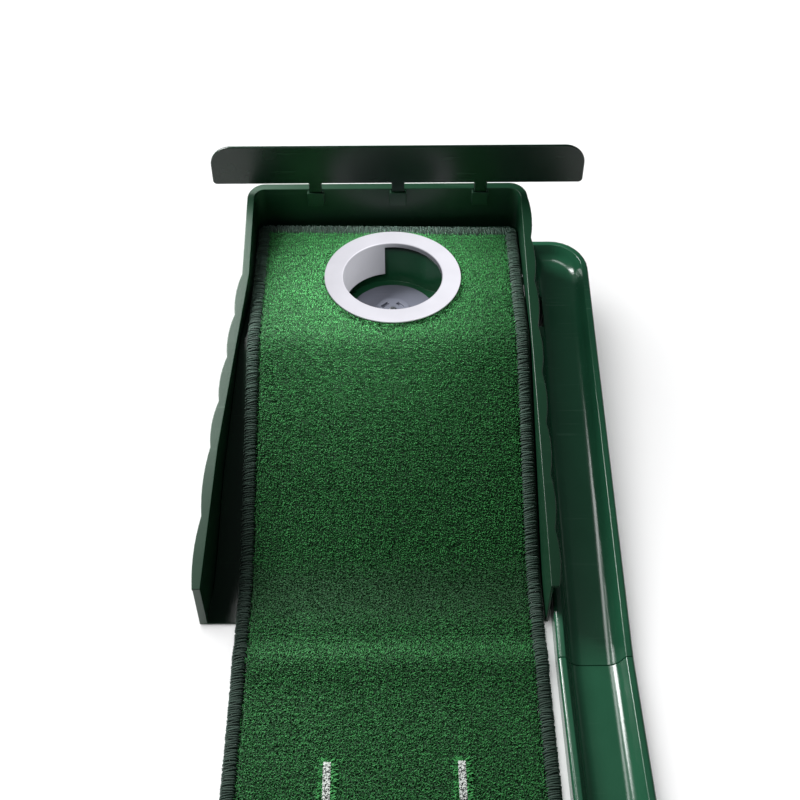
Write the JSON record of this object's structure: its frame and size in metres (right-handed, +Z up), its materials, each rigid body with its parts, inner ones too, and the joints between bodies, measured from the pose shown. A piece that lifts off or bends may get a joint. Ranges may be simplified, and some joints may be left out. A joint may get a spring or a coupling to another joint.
{
  "type": "practice putting mat",
  "caption": "Turf putting mat that climbs a moulded ramp tray to a white cup ring, with a plug-in backboard and a gravity ball-return gutter along its right side.",
  "frame": {"origin": "on the ground directly under the centre of the cup, on the underside of the middle foot pad", "axes": "+X to the player's right, +Y from the player towards the backboard, +Z up"},
  "size_m": [0.4357, 2.728, 0.227],
  "materials": {
    "moulded_green": "glossy dark green injection-moulded polypropylene",
    "gutter_green": "glossy dark green moulded track",
    "cup_white": "satin white moulded plastic",
    "turf": "short cut-pile artificial turf, green with white alignment lines",
    "backing": "black latex foam backing",
    "binding": "dark green overlocked yarn edge",
    "foot_rubber": "matt black anti-slip rubber",
    "screw_steel": "zinc-plated steel screws",
    "joint_pins": "moulded nylon dowel pins"
  },
  "bodies": {
    "root": {"tray_shell": "moulded_green", "rubber_feet": "foot_rubber", "ramp_deck": "moulded_green", "deck_screws": "screw_steel", "return_chute": "moulded_green", "chute_screws": "screw_steel", "cup_floor": "cup_white", "cup_floor_screw": "screw_steel", "mat_backing": "backing", "turf_pile": "turf", "edge_binding": "binding", "gutter_head": "gutter_green"},
    "backboard": {"backboard": "moulded_green"},
    "cup_ring": {"cup_ring": "cup_white"},
    "gutter_run": {"gutter_section_1": "gutter_green", "joint_pins_1": "joint_pins", "gutter_section_2": "gutter_green", "joint_pins_2": "joint_pins", "gutter_section_3": "gutter_green", "joint_pins_3": "joint_pins", "gutter_section_4": "gutter_green", "joint_pins_4": "joint_pins", "joint_pins_5": "joint_pins", "ball_catcher": "gutter_green"}
  },
  "joints": [
    {"name": "backboard_lift", "type": "slide", "parent": "root", "child": "backboard", "axis": [0, 0, 1], "range_m": [0, 0.03]},
    {"name": "cup_ring_lift", "type": "slide", "parent": "root", "child": "cup_ring", "axis": [0, 0, 1], "range_m": [0, 0.06]},
    {"name": "gutter_run_pull", "type": "slide", "parent": "root", "child": "gutter_run", "axis": [0, -1, 0], "range_m": [0, 0.04]}
  ]
}
